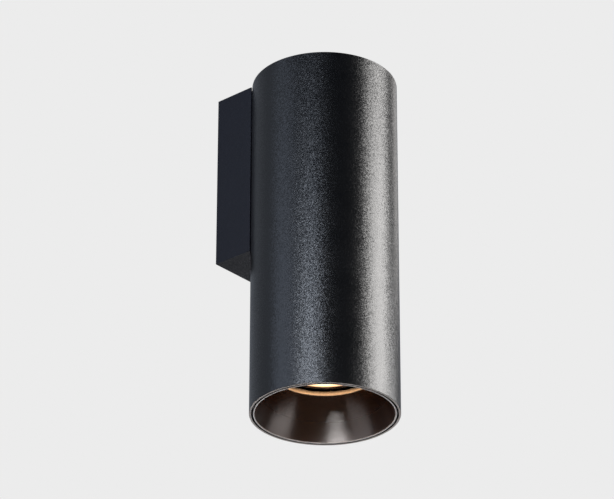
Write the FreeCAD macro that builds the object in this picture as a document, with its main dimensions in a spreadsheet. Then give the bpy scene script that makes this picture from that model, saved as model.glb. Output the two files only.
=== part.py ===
import FreeCAD, Part
import math
import os
import re
import Sketcher

# Wall sconce: a tube downlight on a wall box, with a twist-lock reflector lamp.
# Frame: the wall is the plane y = 0, the room is towards -Y, +Z is up, and the origin is
# the middle of the box's back. Millimetres and degrees.

Vector = FreeCAD.Vector
Rotation = FreeCAD.Rotation

SIZES = [
    # Tube and its lid.
    ("tube_length", 198, "length of the tube"),
    ("tube_radius", 40, "outside of the tube"),
    ("tube_wall", 2.5, "wall of the tube"),
    ("rim_wall", 1.4, "wall left where the two ends are turned out"),
    ("rim_depth", 6, "depth of the turned recess at the mouth"),
    ("edge_chamfer", 0.3, "broken outer edge of turned pieces"),
    ("cap_thickness", 3, "lid of the tube"),
    ("cap_lip_height", 4, "ring under the lid that centres it"),
    ("cap_lip_wall", 2, "wall of that ring"),
    # Clearances.
    ("fit_gap", 0.1, "radial gap of pieces that are pushed together"),
    ("slide_gap", 0.3, "gap between pieces that move"),
    ("thread_gap", 0.05, "radial gap between a screw and its threaded hole"),
    ("overrun", 2, "how far a cut goes past the face it opens"),
    # Box between tube and wall.
    ("tube_stand_off", 14, "back of the tube to the wall"),
    ("box_width", 56, "width of the box"),
    ("box_height", 102, "height of the box"),
    ("box_wall", 2.5, "side walls and concave front of the box"),
    ("box_end_wall", 3, "top and bottom of the box"),
    ("front_lip", 0.7, "flat left on each side beside the concave front"),
    ("saddle_gap", 0.2, "gap between the tube and the concave front"),
    # Bracket on the wall.
    ("plate_thickness", 1.5, "sheet of both brackets"),
    ("plate_side_gap", 1.5, "gap between the wall bracket and the box's sides"),
    ("lug_gap", 0.3, "gap between a lug and the box's end wall"),
    ("lug_width", 20, "width of the two lugs"),
    ("lug_length", 10.5, "how far a lug stands off the wall"),
    ("slot_spacing", 60, "centre to centre of the two wall slots"),
    ("slot_width", 4.5, "width of a wall slot"),
    ("slot_length", 10, "end to end length of a wall slot"),
    ("cable_drop", 16.5, "cable hole below the bracket's middle"),
    ("cable_radius", 4, "bore of the bush"),
    ("bush_wall", 2, "bore of the bush to the bracket's hole"),
    ("bush_flange_width", 1.5, "flange of the bush beyond that hole"),
    ("bush_flange_thickness", 1.5, "flange of the bush"),
    # Metric screws: each has its shank, head and hexagon socket.
    ("m4_radius", 1.95, "M4 shank"),
    ("m4_clear_radius", 2.2, "clearance hole for M4"),
    ("m4_head_radius", 3.8, "M4 pan head"),
    ("m4_head_height", 2.4, "M4 pan head"),
    ("m4_socket_radius", 1.4, "hexagon of the M4 socket, over corners"),
    ("m4_socket_depth", 1.5, "M4 socket"),
    ("m4_nut_radius", 4, "M4 nut over corners"),
    ("m4_nut_height", 3.2, "M4 nut"),
    ("m4_washer_radius", 4.4, "M4 washer"),
    ("m4_washer_thickness", 0.8, "M4 washer"),
    ("m3_radius", 1.45, "M3 shank"),
    ("m3_clear_radius", 1.7, "clearance hole for M3"),
    ("m3_head_radius", 2.4, "M3 pan head"),
    ("m3_head_height", 1.8, "M3 pan head"),
    ("m3_socket_radius", 1.1, "hexagon of the M3 socket, over corners"),
    ("m3_socket_depth", 1.1, "M3 socket"),
    ("head_bevel", 0.4, "bevel round a screw head"),
    ("head_gap", 0.3, "room round a sunk screw head"),
    ("lock_screw_length", 5, "set screw through the box's end wall"),
    ("lock_screw_inset", 0.4, "how far the set screw lies below the face"),
    # Screws that hold the tube on the box.
    ("fixing_inset", 6, "tube screw from the end of the curved block"),
    ("fixing_length", 16, "shank of a tube screw"),
    ("clamp_gap", 0.5, "curved block below the sleeve"),
    ("clamp_width", 24, "curved block inside the tube"),
    ("clamp_thickness", 5, "tube's bore to the flat front of the block"),
    # Passage of the leads from box to tube.
    ("lead_hole_radius", 5, "hole in both walls"),
    ("sleeve_wall", 1, "rubber sleeve in the passage"),
    ("sleeve_gap", 0.5, "sleeve below the lid's ring"),
    ("sleeve_flange_width", 1.5, "flange of the sleeve beyond the hole"),
    ("sleeve_flange_thickness", 1.2, "flange of the sleeve"),
    # Terminal block.
    ("block_length", 17, "terminal block along its wires"),
    ("block_depth", 9, "terminal block off the bracket"),
    ("pole_pitch", 8, "pole to pole"),
    ("wire_depth", 4.5, "wire holes above the bracket"),
    ("wire_hole_radius", 1.5, "wire hole of a pole"),
    ("wire_grip", 6.5, "length of lead inside the block"),
    ("clamp_screw_spacing", 9, "two clamp screws of a pole"),
    ("clamp_screw_radius", 1.7, "clamp screw"),
    ("clamp_screw_length", 2.8, "clamp screw"),
    ("clamp_screw_inset", 0.4, "clamp screw below the block's face"),
    ("clamp_slot_width", 0.5, "slot of a clamp screw"),
    ("clamp_slot_depth", 0.8, "slot of a clamp screw"),
    # Bracket that carries the lampholder.
    ("shelf_width", 32, "shelf across the tube"),
    ("shelf_overhang", 17, "shelf beyond the tube axis"),
    ("shelf_hole_radius", 8, "hole for the leads in the shelf"),
    # Lampholder.
    ("holder_radius", 16.5, "ceramic holder"),
    ("holder_height", 11.5, "ceramic holder"),
    ("holder_cap_height", 2.5, "ceramic back of the holder"),
    ("holder_floor", 3, "floor with the two keyholes"),
    ("holder_room_radius", 9.5, "room for the contacts"),
    ("holder_screw_inset", 4, "holder screws from the holder's side"),
    ("holder_screw_sink", 4, "depth of the recess for a screw head"),
    ("holder_screw_end", 2, "screw beyond the shelf"),
    ("pin_circle", 5, "lamp pins from the axis"),
    ("pin_neck_radius", 1.5, "neck of a lamp pin"),
    ("pin_neck_height", 3.6, "neck of a lamp pin below its head"),
    ("pin_head_radius", 2.5, "head of a lamp pin"),
    ("pin_head_height", 2.6, "head of a lamp pin"),
    ("pin_root", 4, "pin inside the lamp's base"),
    ("lock_angle", 30, "turn from locked to the entry holes"),
    ("contact_thickness", 0.6, "contact blade"),
    ("contact_width", 4, "contact blade"),
    ("contact_inner_reach", 2.3, "blade beyond the pin's middle, towards the axis"),
    ("contact_outer_reach", 2.9, "blade beyond the pin's middle, outwards"),
    ("lead_hole_gap", 0.2, "room round a lead in the holder's back"),
    # Internal leads.
    ("lead_radius", 1.1, "insulated lead"),
    ("lead_bend_drop", 14, "below the sleeve, where the outer leads turn to it"),
    ("lead_clearance", 7, "live and neutral leads in front of the holder bracket"),
    ("lead_rise", 9, "turn above the shelf"),
    ("lead_slope", 11.9, "height lost on the way to that turn"),
    ("earth_clearance", 4, "earth lead in front of the holder bracket"),
    ("earth_bend_rise", 4, "where the earth lead turns to its tag, above the tag's lead"),
    # Earth tag and screw.
    ("earth_side", 7.5, "earth screw beside the middle of the bracket"),
    ("tag_radius", 4, "ring of the tag"),
    ("tag_thickness", 0.8, "ring of the tag"),
    ("tag_barrel_radius", 1.8, "barrel of the tag"),
    ("tag_barrel_length", 7, "barrel of the tag"),
    ("tag_barrel_start", 6, "barrel from the ring's middle"),
    ("tag_grip", 5, "length of lead inside the barrel"),
    ("earth_screw_length", 4, "shank of the earth screw"),
    # Lamp.
    ("lamp_length", 54, "face to base end"),
    ("lamp_gap", 2.5, "radial gap between the lamp and the neck ring"),
    ("lamp_wall", 1.5, "wall of the lamp body"),
    ("lamp_rim_height", 3, "front ring"),
    ("lamp_rim_width", 2, "front ring"),
    ("lamp_straight", 12, "end of the cylindrical part"),
    ("lamp_neck_radius", 15, "narrow end of the body"),
    ("lamp_neck_height", 40, "where body and base meet"),
    ("lamp_base_radius", 13.5, "base"),
    ("lamp_plug_depth", 4, "base inside the body"),
    ("lamp_collar", 2, "collar of the base"),
    ("lens_lip", 0.4, "lip that the front ring holds"),
    ("lens_lip_height", 1, "lip that the front ring holds"),
    ("lens_inset", 0.2, "lens behind the front ring's face"),
    ("board_thickness", 1.6, "board inside the lamp"),
    ("chip_size", 3, "side of a light source"),
    ("chip_height", 0.8, "height of a light source"),
    ("chip_circle", 12, "ring of light sources"),
    # Reflector and what holds it.
    ("reflector_gap", 0.6, "radial gap between the cone's rim and the tube's end"),
    ("mouth_edge", 0.9, "width of the rim at the mouth"),
    ("neck_height", 23.6, "neck above the mouth"),
    ("reflector_sheet", 1, "sheet of the cone"),
    ("neck_ring_width", 5.5, "bare metal ring on the cone's flange"),
    ("neck_ring_height", 2.4, "bare metal ring on the cone's flange"),
    ("ring_chamfer", 0.3, "broken edges of that ring"),
    ("spring_strip", 0.4, "strip of the leaf springs"),
    ("spring_width", 6, "leaf spring"),
    ("spring_room", 4.5, "flange to the tube's bore"),
    ("spring_foot_inset", 1.3, "foot of a spring from the neck"),
    ("spring_foot_overhang", 0.6, "bend of a spring beyond the flange"),
    ("spring_crown_rise", 8, "neck ring to where a spring presses on the tube"),
    ("spring_tip_gap", 1.9, "tip of a spring to the tube's bore"),
    ("spring_tip_rise", 5, "tip of a spring above where it presses"),
    ("spring_screw_inset", 2, "spring screws from the flange's edge"),
    ("spring_screw_radius", 1.2, "M2.5 shank"),
    ("spring_screw_head_radius", 2.1, "M2.5 pan head"),
    ("spring_screw_head_height", 1.3, "M2.5 pan head"),
    ("spring_screw_length", 4.2, "shank of a spring screw"),
    ("spring_screw_socket_radius", 0.9, "hexagon over corners"),
    ("spring_screw_socket_depth", 0.8, "hexagon socket"),
]

doc = FreeCAD.newDocument("WallSconce")
sheet = doc.addObject("Spreadsheet::Sheet", "Sizes")
for row, (alias, value, note) in enumerate(SIZES, start=1):
    sheet.set(f"A{row}", note)
    sheet.set(f"B{row}", str(value))
    sheet.setAlias(f"B{row}", alias)
doc.recompute()
ALIASES = {alias for alias, value, note in SIZES}

# Places that many pieces share, written in the named sizes.
AXIS_Y = "(0 - tube_stand_off - tube_radius)"
MOUTH_Z = "(box_height / 2 - tube_length)"
TUBE_BORE = "(tube_radius - tube_wall)"
SADDLE_RADIUS = "(tube_radius + saddle_gap)"
BOX_FRONT = f"sqrt({SADDLE_RADIUS}^2 - (box_width / 2 - front_lip)^2)"
BOX_DEPTH = f"(0 - {AXIS_Y} - {BOX_FRONT})"
PLATE_WIDTH = "(box_width - 2 * box_wall - 2 * plate_side_gap)"
PLATE_HEIGHT = "(box_height - 2 * box_end_wall - 2 * lug_gap)"
CABLE_HOLE_RADIUS = "(cable_radius + bush_wall)"
SLEEVE_FLANGE_RADIUS = "(lead_hole_radius + sleeve_flange_width)"
LEAD_HOLE_Z = f"(box_height / 2 - cap_thickness - cap_lip_height - sleeve_gap - {SLEEVE_FLANGE_RADIUS})"
CLAMP_END_Z = f"({LEAD_HOLE_Z} - {SLEEVE_FLANGE_RADIUS} - clamp_gap)"
CLAMP_FRONT_Y = "(0 - tube_stand_off - tube_wall - clamp_thickness)"
LEG_FRONT_Y = f"({CLAMP_FRONT_Y} - plate_thickness)"
TAG_TOP_Z = "(tag_barrel_start + tag_barrel_length)"
WIRE_Y = "(0 - plate_thickness - wire_depth)"
LEAD_SPREAD = "(2 * lead_radius + slide_gap)"
FLANGE_RADIUS = f"({TUBE_BORE} - spring_room)"
NECK_RADIUS = f"({FLANGE_RADIUS} - neck_ring_width)"
RIM_RADIUS = "(tube_radius - rim_wall - reflector_gap)"
LAMP_RADIUS = f"({NECK_RADIUS} - lamp_gap)"
LAMP_FACE_Z = f"({MOUTH_Z} + neck_height + neck_ring_height + slide_gap)"
HOLDER_Z = f"({LAMP_FACE_Z} + lamp_length + slide_gap)"
HOLDER_CAP_Z = f"({HOLDER_Z} + holder_height)"
SHELF_Z = f"({HOLDER_CAP_Z} + holder_cap_height)"
PIN_TOP_Z = f"({LAMP_FACE_Z} + lamp_length + pin_neck_height + pin_head_height)"
BLADE_Z = f"({PIN_TOP_Z} + slide_gap)"
HOLDER_SCREW_CIRCLE = "(holder_radius - holder_screw_inset)"
SPRING_SCREW_CIRCLE = f"({FLANGE_RADIUS} - spring_screw_inset)"
FACING = {
    "up": Rotation(),
    "down": Rotation(Vector(1, 0, 0), 180),
    "wall": Rotation(Vector(1, 0, 0), -90),
    "room": Rotation(Vector(1, 0, 0), 90),
}
SIDES = (("left", "0 - "), ("right", ""))
nodes = []


def sized(text):
    """Turns plain size names into references to the sheet's cells."""
    return re.sub(r"[a-z]\w*", lambda word: "Sizes." + word[0] if word[0] in ALIASES else word[0], text)


def number(text):
    """Value of an expression of the named sizes."""
    return float(sheet.evalExpression(sized(text)))


def place(item, x="0", y="0", z="0", facing="up", turn=0):
    """Sets where an object stands, which way its own +Z points, and its turn about Z."""
    about_z = Rotation(Vector(0, 0, 1), turn)
    item.Placement = FreeCAD.Placement(Vector(), about_z.multiply(FACING[facing]))
    for axis, text in (("x", x), ("y", y), ("z", z)):
        item.setExpression("Placement.Base." + axis, sized(text))
    return item


def rod(name, radius, length, x="0", y="0", z="0", facing="up"):
    """Round bar, or the tool of a drilled hole."""
    item = doc.addObject("Part::Cylinder", name)
    item.setExpression("Radius", sized(radius))
    item.setExpression("Height", sized(length))
    return place(item, x, y, z, facing)


def block(name, length, width, height, x="0", y="0", z="0"):
    """Straight block from its lowest corner."""
    item = doc.addObject("Part::Box", name)
    item.setExpression("Length", sized(length))
    item.setExpression("Width", sized(width))
    item.setExpression("Height", sized(height))
    return place(item, x, y, z)


def hexagon(name, radius, length, z="0"):
    """Six-sided bar, or the tool of a hexagon socket."""
    item = doc.addObject("Part::Prism", name)
    item.Polygon = 6
    item.setExpression("Circumradius", sized(radius))
    item.setExpression("Height", sized(length))
    return place(item, z=z)


def joined(name, pieces):
    """One solid from pieces that touch."""
    item = doc.addObject("Part::MultiFuse", name)
    item.Shapes = pieces
    item.Refine = True
    return item


def cut(name, base, tools):
    """A piece with holes, slots or recesses."""
    item = doc.addObject("Part::Cut", name)
    item.Base = base
    item.Tool = tools[0] if len(tools) == 1 else joined(name + "_tools", tools)
    return item


def common(name, base, tool):
    """What two solids share."""
    item = doc.addObject("Part::Common", name)
    item.Base = base
    item.Tool = tool
    return item


def group(name, pieces):
    """Identical fasteners as separate solids of one node."""
    item = doc.addObject("Part::Compound", name)
    item.Links = pieces
    return item


def outline(body, name, points):
    """Closed upright sketch of straight runs, with each corner bound to the named sizes."""
    support = next(part for part in body.Origin.OriginFeatures if part.Role == "XZ_Plane")
    sketch = body.newObject("Sketcher::SketchObject", name)
    sketch.AttachmentSupport = [(support, "")]
    sketch.MapMode = "FlatFace"
    corners = [Vector(number(across), number(up), 0) for across, up in points]
    count = len(points)
    for index, corner in enumerate(corners):
        sketch.addGeometry(Part.LineSegment(corner, corners[(index + 1) % count]), False)
    for index in range(count):
        sketch.addConstraint(Sketcher.Constraint("Coincident", index, 2, (index + 1) % count, 1))
    for index, (across, up) in enumerate(points):
        for kind, text in (("DistanceX", across), ("DistanceY", up)):
            rule = Sketcher.Constraint(kind, -1, 1, index, 1, number(text))
            label = f"{kind}{index}"
            sketch.renameConstraint(sketch.addConstraint(rule), label)
            sketch.setExpression("Constraints." + label, sized(text))
    return sketch


def turned(name, points, x="0", y="0", z="0", facing="up"):
    """Piece turned on a lathe from an outline of (radius, height) corners."""
    body = doc.addObject("PartDesign::Body", name)
    profile = outline(body, name + "_profile", points)
    turning = body.newObject("PartDesign::Revolution", name + "_turning")
    turning.Profile = profile
    turning.ReferenceAxis = (profile, ["V_Axis"])
    turning.Angle = 360
    return place(body, x, y, z, facing)


def screw(name, size, shank, x, y, z, facing):
    """Pan-head screw with a hexagon socket. Its head's underside is at the given place."""
    head = f"{size}_head_radius"
    height = f"{size}_head_height"
    blank = turned(name + "_blank", [
        ("0", f"0 - {shank}"),
        (f"{size}_radius", f"0 - {shank}"),
        (f"{size}_radius", "0"),
        (head, "0"),
        (head, f"{height} - head_bevel"),
        (f"{head} - head_bevel", height),
        ("0", height),
    ])
    depth = f"{size}_socket_depth"
    low = f"{height} - {depth}"
    socket = hexagon(name + "_socket", f"{size}_socket_radius", f"{depth} + overrun", low)
    return place(cut(name, blank, [socket]), x, y, z, facing)


def around(circle, turn):
    """Place on a circle about the tube's axis, as its x and y."""
    x_share = math.cos(math.radians(turn))
    y_share = math.sin(math.radians(turn))
    return f"{x_share:.6f} * {circle}", f"{AXIS_Y} + {y_share:.6f} * {circle}"


def wall_hole(name, radius, height):
    """Hole along Y through the walls between the tube's inside and the box's inside."""
    length = f"{SADDLE_RADIUS} + box_wall + overrun"
    return rod(name, radius, length, y=AXIS_Y, z=height, facing="wall")


def tube_screw_heights():
    reach = f"({CLAMP_END_Z} - fixing_inset)"
    return (("lower", f"0 - {reach}"), ("upper", reach))


# Tube: extruded aluminium, both ends turned out to a thin rim, black powder coat.
def make_tube():
    end_bore = "tube_radius - rim_wall"
    blank = turned("tube_blank", [
        (end_bore, "0"),
        ("tube_radius - edge_chamfer", "0"),
        ("tube_radius", "edge_chamfer"),
        ("tube_radius", "tube_length - edge_chamfer"),
        ("tube_radius - edge_chamfer", "tube_length"),
        (end_bore, "tube_length"),
        (end_bore, "tube_length - cap_thickness"),
        (TUBE_BORE, "tube_length - cap_thickness"),
        (TUBE_BORE, "rim_depth"),
        (end_bore, "rim_depth"),
    ], y=AXIS_Y, z=MOUTH_Z)
    holes = [wall_hole("tube_lead_hole", "lead_hole_radius", LEAD_HOLE_Z)]
    for side, height in tube_screw_heights():
        holes.append(wall_hole(f"tube_screw_hole_{side}", "m4_clear_radius", height))
    return cut("tube", blank, holes)


# Lid: aluminium disc in the tube's upper recess, flush with the end.
def make_top_cap():
    lip = f"{TUBE_BORE} - fit_gap"
    disc = "tube_radius - rim_wall - fit_gap"
    return turned("top_cap", [
        ("0", "0"),
        (f"{lip} - cap_lip_wall", "0"),
        (f"{lip} - cap_lip_wall", "0 - cap_lip_height"),
        (lip, "0 - cap_lip_height"),
        (lip, "0"),
        (disc, "0"),
        (disc, "cap_thickness - edge_chamfer"),
        (f"{disc} - edge_chamfer", "cap_thickness"),
        ("0", "cap_thickness"),
    ], y=AXIS_Y, z="box_height / 2 - cap_thickness")


# Box: cast aluminium, open to the wall, with a concave front that follows the tube.
def make_wall_box():
    low_z = "0 - box_height / 2"
    body = block("box_body", "box_width", BOX_DEPTH, "box_height",
                 "0 - box_width / 2", f"0 - {BOX_DEPTH}", low_z)
    room = block("box_room", "box_width - 2 * box_wall", f"{BOX_DEPTH} + overrun",
                 "box_height - 2 * box_end_wall",
                 "box_wall - box_width / 2", f"0 - {BOX_DEPTH}", "box_end_wall - box_height / 2")
    room_front = rod("box_room_front", f"{SADDLE_RADIUS} + box_wall", "box_height", y=AXIS_Y, z=low_z)
    through = "box_height + 2 * overrun"
    saddle = rod("box_saddle", SADDLE_RADIUS, through, y=AXIS_Y, z=f"{low_z} - overrun")
    lock_hole = rod("box_lock_hole", "m4_radius + thread_gap", through,
                    y="0 - lug_length / 2", z=f"{low_z} - overrun")
    tools = [cut("box_hollow", room, [room_front]), saddle, lock_hole]
    tools.append(wall_hole("box_lead_hole", "lead_hole_radius", LEAD_HOLE_Z))
    for side, height in tube_screw_heights():
        tools.append(wall_hole(f"box_screw_hole_{side}", "m4_clear_radius", height))
    return cut("wall_box", body, tools)


# Wall bracket: galvanised steel plate with two slots and two bent lugs.
def make_wall_bracket():
    bottom = f"0 - {PLATE_HEIGHT} / 2"
    pieces = [block("bracket_plate", PLATE_WIDTH, "plate_thickness", PLATE_HEIGHT,
                    f"0 - {PLATE_WIDTH} / 2", "0 - plate_thickness", bottom)]
    for side, low in (("lower", bottom), ("upper", f"{PLATE_HEIGHT} / 2 - plate_thickness")):
        pieces.append(block(f"bracket_lug_{side}", "lug_width", "lug_length", "plate_thickness",
                            "0 - lug_width / 2", "0 - lug_length", low))
    through = "plate_thickness + 2 * overrun"
    front = "0 - plate_thickness - overrun"
    tools = [
        rod("bracket_lug_holes", "m4_clear_radius", f"{PLATE_HEIGHT} + 2 * overrun",
            y="0 - lug_length / 2", z=f"{bottom} - overrun"),
        rod("bracket_cable_hole", CABLE_HOLE_RADIUS, through, y=front, z="0 - cable_drop", facing="wall"),
        rod("bracket_block_hole", "m3_radius + thread_gap", through,
            x="0 - pole_pitch / 2", y=front, facing="wall"),
    ]
    for side, sign in (("lower", "0 - "), ("upper", "")):
        middle = f"{sign}slot_spacing / 2"
        reach = "(slot_length - slot_width) / 2"
        tools.append(block(f"slot_{side}", "slot_width", through, "slot_length - slot_width",
                           "0 - slot_width / 2", front, f"{middle} - {reach}"))
        for end, step in (("low", "-"), ("high", "+")):
            tools.append(rod(f"slot_{side}_{end}", "slot_width / 2", through,
                             y=front, z=f"{middle} {step} {reach}", facing="wall"))
    return cut("wall_bracket", joined("bracket_sheet", pieces), tools)


# Set screws that lock the box on the lugs, from above and from below.
def make_box_lock_screws():
    screws = []
    for side, facing, sign in (("top", "up", ""), ("bottom", "down", "0 - ")):
        bar = rod(f"lock_bar_{side}", "m4_radius", "lock_screw_length")
        socket = hexagon(f"lock_socket_{side}", "m4_socket_radius", "m4_socket_depth + overrun",
                         "lock_screw_length - m4_socket_depth")
        end = f"{sign}(box_height / 2 - lock_screw_inset - lock_screw_length)"
        lock_screw = cut(f"lock_screw_{side}", bar, [socket])
        screws.append(place(lock_screw, y="0 - lug_length / 2", z=end, facing=facing))
    return group("box_lock_screws", screws)


# Bush: rubber, in the bracket's cable hole, flush with the wall.
def make_cable_bush():
    neck = f"{CABLE_HOLE_RADIUS} - fit_gap"
    flange = f"{CABLE_HOLE_RADIUS} + bush_flange_width"
    return turned("cable_bush", [
        ("cable_radius", "0 - bush_flange_thickness"),
        (flange, "0 - bush_flange_thickness"),
        (flange, "0"),
        (neck, "0"),
        (neck, "plate_thickness"),
        ("cable_radius", "plate_thickness"),
    ], y="0 - plate_thickness", z="0 - cable_drop", facing="wall")


# Screws, washers, nuts and curved block that hold the tube on the box.
def make_tube_fixings():
    washer_y = f"({AXIS_Y} + {SADDLE_RADIUS} + box_wall)"
    screws = []
    washers = []
    nuts = []
    holes = []
    for side, height in tube_screw_heights():
        screws.append(screw(f"fixing_screw_{side}", "m4", "fixing_length",
                            "0", f"{washer_y} + m4_washer_thickness", height, "wall"))
        washers.append(turned(f"fixing_washer_{side}", [
            ("m4_clear_radius", "0"),
            ("m4_washer_radius", "0"),
            ("m4_washer_radius", "m4_washer_thickness"),
            ("m4_clear_radius", "m4_washer_thickness"),
        ], y=washer_y, z=height, facing="wall"))
        bar = hexagon(f"nut_bar_{side}", "m4_nut_radius", "m4_nut_height")
        thread = rod(f"nut_thread_{side}", "m4_radius + thread_gap", "m4_nut_height + 2 * overrun",
                     z="0 - overrun")
        nut = cut(f"nut_{side}", bar, [thread])
        nuts.append(place(nut, y=LEG_FRONT_Y, z=height, facing="room"))
        holes.append(rod(f"clamp_hole_{side}", "m4_clear_radius", "tube_radius",
                         y=AXIS_Y, z=height, facing="wall"))
    slab = block("clamp_slab", "clamp_width", "tube_radius", f"2 * {CLAMP_END_Z}",
                 "0 - clamp_width / 2", CLAMP_FRONT_Y, f"0 - {CLAMP_END_Z}")
    bore = rod("clamp_back", f"{TUBE_BORE} - fit_gap", f"2 * {CLAMP_END_Z}",
               y=AXIS_Y, z=f"0 - {CLAMP_END_Z}")
    holes.append(earth_screw_hole("clamp_earth_hole"))
    return [
        group("tube_fixing_screws", screws),
        group("tube_fixing_washers", washers),
        cut("clamp_block", common("clamp_curved", slab, bore), holes),
        group("clamp_nuts", nuts),
    ]


def earth_screw_hole(name):
    """Threaded hole for the earth screw in the holder bracket and the block behind it."""
    return rod(name, "m4_radius + thread_gap", "earth_screw_length + overrun",
               x="earth_side", y=f"{LEG_FRONT_Y} - overrun", facing="wall")


# Holder bracket: bent steel, its leg clamped on the block, its shelf over the lampholder.
def make_holder_bracket():
    leg_end = f"min({SHELF_Z}; 0 - {CLAMP_END_Z})"
    leg = block("holder_leg", "clamp_width", "plate_thickness", f"{CLAMP_END_Z} - {leg_end}",
                "0 - clamp_width / 2", LEG_FRONT_Y, leg_end)
    shelf = block("holder_shelf", "shelf_width", f"{CLAMP_FRONT_Y} - {AXIS_Y} + shelf_overhang",
                  "plate_thickness", "0 - shelf_width / 2", f"{AXIS_Y} - shelf_overhang", SHELF_Z)
    through = "plate_thickness + 2 * overrun"
    low = f"{SHELF_Z} - overrun"
    tools = [rod("shelf_lead_hole", "shelf_hole_radius", through, y=AXIS_Y, z=low),
             earth_screw_hole("leg_earth_hole")]
    for side, sign in (("front", "-"), ("back", "+")):
        tools.append(rod(f"shelf_screw_hole_{side}", "m3_radius + thread_gap", through,
                         y=f"{AXIS_Y} {sign} {HOLDER_SCREW_CIRCLE}", z=low))
    for side, height in tube_screw_heights():
        tools.append(rod(f"leg_screw_hole_{side}", "m4_clear_radius", through,
                         y=f"{LEG_FRONT_Y} - overrun", z=height, facing="wall"))
    return cut("holder_bracket", joined("holder_sheet", [leg, shelf]), tools)


# Lampholder: ceramic, two keyhole slots in its floor, and a ceramic back.
def make_lampholder():
    outer = rod("holder_disc", "holder_radius", "holder_height")
    tools = [rod("holder_room", "holder_room_radius", "holder_height", z="holder_floor")]
    slot_half = "pin_neck_radius + slide_gap"
    through = "holder_floor + 2 * overrun"
    for side, sign in SIDES:
        locked = number("0 - lock_angle") + (180 if side == "left" else 0)
        sector = rod(f"keyhole_sector_{side}", f"pin_circle + {slot_half}", through)
        sector.setExpression("Angle", sized("lock_angle"))
        core = rod(f"keyhole_core_{side}", f"pin_circle - ({slot_half})", through)
        slot = place(cut(f"keyhole_slot_{side}", sector, [core]), z="0 - overrun", turn=locked)
        entry_x = f"{sign}pin_circle * cos(lock_angle)"
        entry_y = f"{'' if side == 'left' else '0 - '}pin_circle * sin(lock_angle)"
        tools += [
            slot,
            rod(f"keyhole_end_{side}", slot_half, through, x=f"{sign}pin_circle", z="0 - overrun"),
            rod(f"keyhole_entry_{side}", "pin_head_radius + slide_gap", through,
                entry_x, entry_y, "0 - overrun"),
        ]
    for side, sign in SIDES:
        middle = f"{sign}{HOLDER_SCREW_CIRCLE}"
        tools += [
            rod(f"holder_bore_{side}", "m3_clear_radius", "holder_height + 2 * overrun",
                y=middle, z="0 - overrun"),
            rod(f"holder_sink_{side}", "m3_head_radius + head_gap", "holder_screw_sink + overrun",
                y=middle, z="0 - overrun"),
        ]
    return place(cut("lampholder", outer, tools), y=AXIS_Y, z=HOLDER_Z)


def make_holder_cap():
    disc = rod("holder_back", "holder_radius", "holder_cap_height")
    through = "holder_cap_height + 2 * overrun"
    tools = []
    for side, sign in SIDES:
        tools += [
            rod(f"back_lead_hole_{side}", "lead_radius + lead_hole_gap", through,
                x=f"{sign}pin_circle", z="0 - overrun"),
            rod(f"back_screw_hole_{side}", "m3_clear_radius", through,
                y=f"{sign}{HOLDER_SCREW_CIRCLE}", z="0 - overrun"),
        ]
    return place(cut("holder_cap", disc, tools), y=AXIS_Y, z=HOLDER_CAP_Z)


# Contacts: bronze blades over the pin heads, hung from the holder's back.
def make_holder_contacts():
    blades = []
    for side, turn in (("right", 0), ("left", 180)):
        tongue = block(f"blade_tongue_{side}", "contact_inner_reach + contact_outer_reach",
                       "contact_width", "contact_thickness",
                       "pin_circle - contact_inner_reach", "0 - contact_width / 2")
        riser = block(f"blade_riser_{side}", "contact_thickness",
                      "contact_width", f"{HOLDER_CAP_Z} - {BLADE_Z}",
                      "pin_circle + contact_outer_reach - contact_thickness", "0 - contact_width / 2")
        blade = joined(f"blade_{side}", [tongue, riser])
        blades.append(place(blade, y=AXIS_Y, z=BLADE_Z, turn=turn))
    return group("holder_contacts", blades)


def make_holder_screws():
    screws = []
    reach = "(holder_height - holder_screw_sink + holder_cap_height + plate_thickness + holder_screw_end)"
    for side, sign in (("front", "-"), ("back", "+")):
        screws.append(screw(f"holder_screw_{side}", "m3", reach,
                            "0", f"{AXIS_Y} {sign} {HOLDER_SCREW_CIRCLE}",
                            f"{HOLDER_Z} + holder_screw_sink", "down"))
    return group("holder_screws", screws)


# Sleeve: rubber, round the leads where they pass both walls.
def make_lead_grommet():
    bore = "lead_hole_radius - sleeve_wall"
    neck = "lead_hole_radius - fit_gap"
    inner = f"sqrt({TUBE_BORE}^2 - {SLEEVE_FLANGE_RADIUS}^2)"
    outer = f"{SADDLE_RADIUS} + box_wall"
    return turned("lead_grommet", [
        (bore, f"{inner} - sleeve_flange_thickness"),
        (SLEEVE_FLANGE_RADIUS, f"{inner} - sleeve_flange_thickness"),
        (SLEEVE_FLANGE_RADIUS, inner),
        (neck, inner),
        (neck, outer),
        (SLEEVE_FLANGE_RADIUS, outer),
        (SLEEVE_FLANGE_RADIUS, f"{outer} + sleeve_flange_thickness"),
        (bore, f"{outer} + sleeve_flange_thickness"),
    ], y=AXIS_Y, z=LEAD_HOLE_Z, facing="wall")


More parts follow.
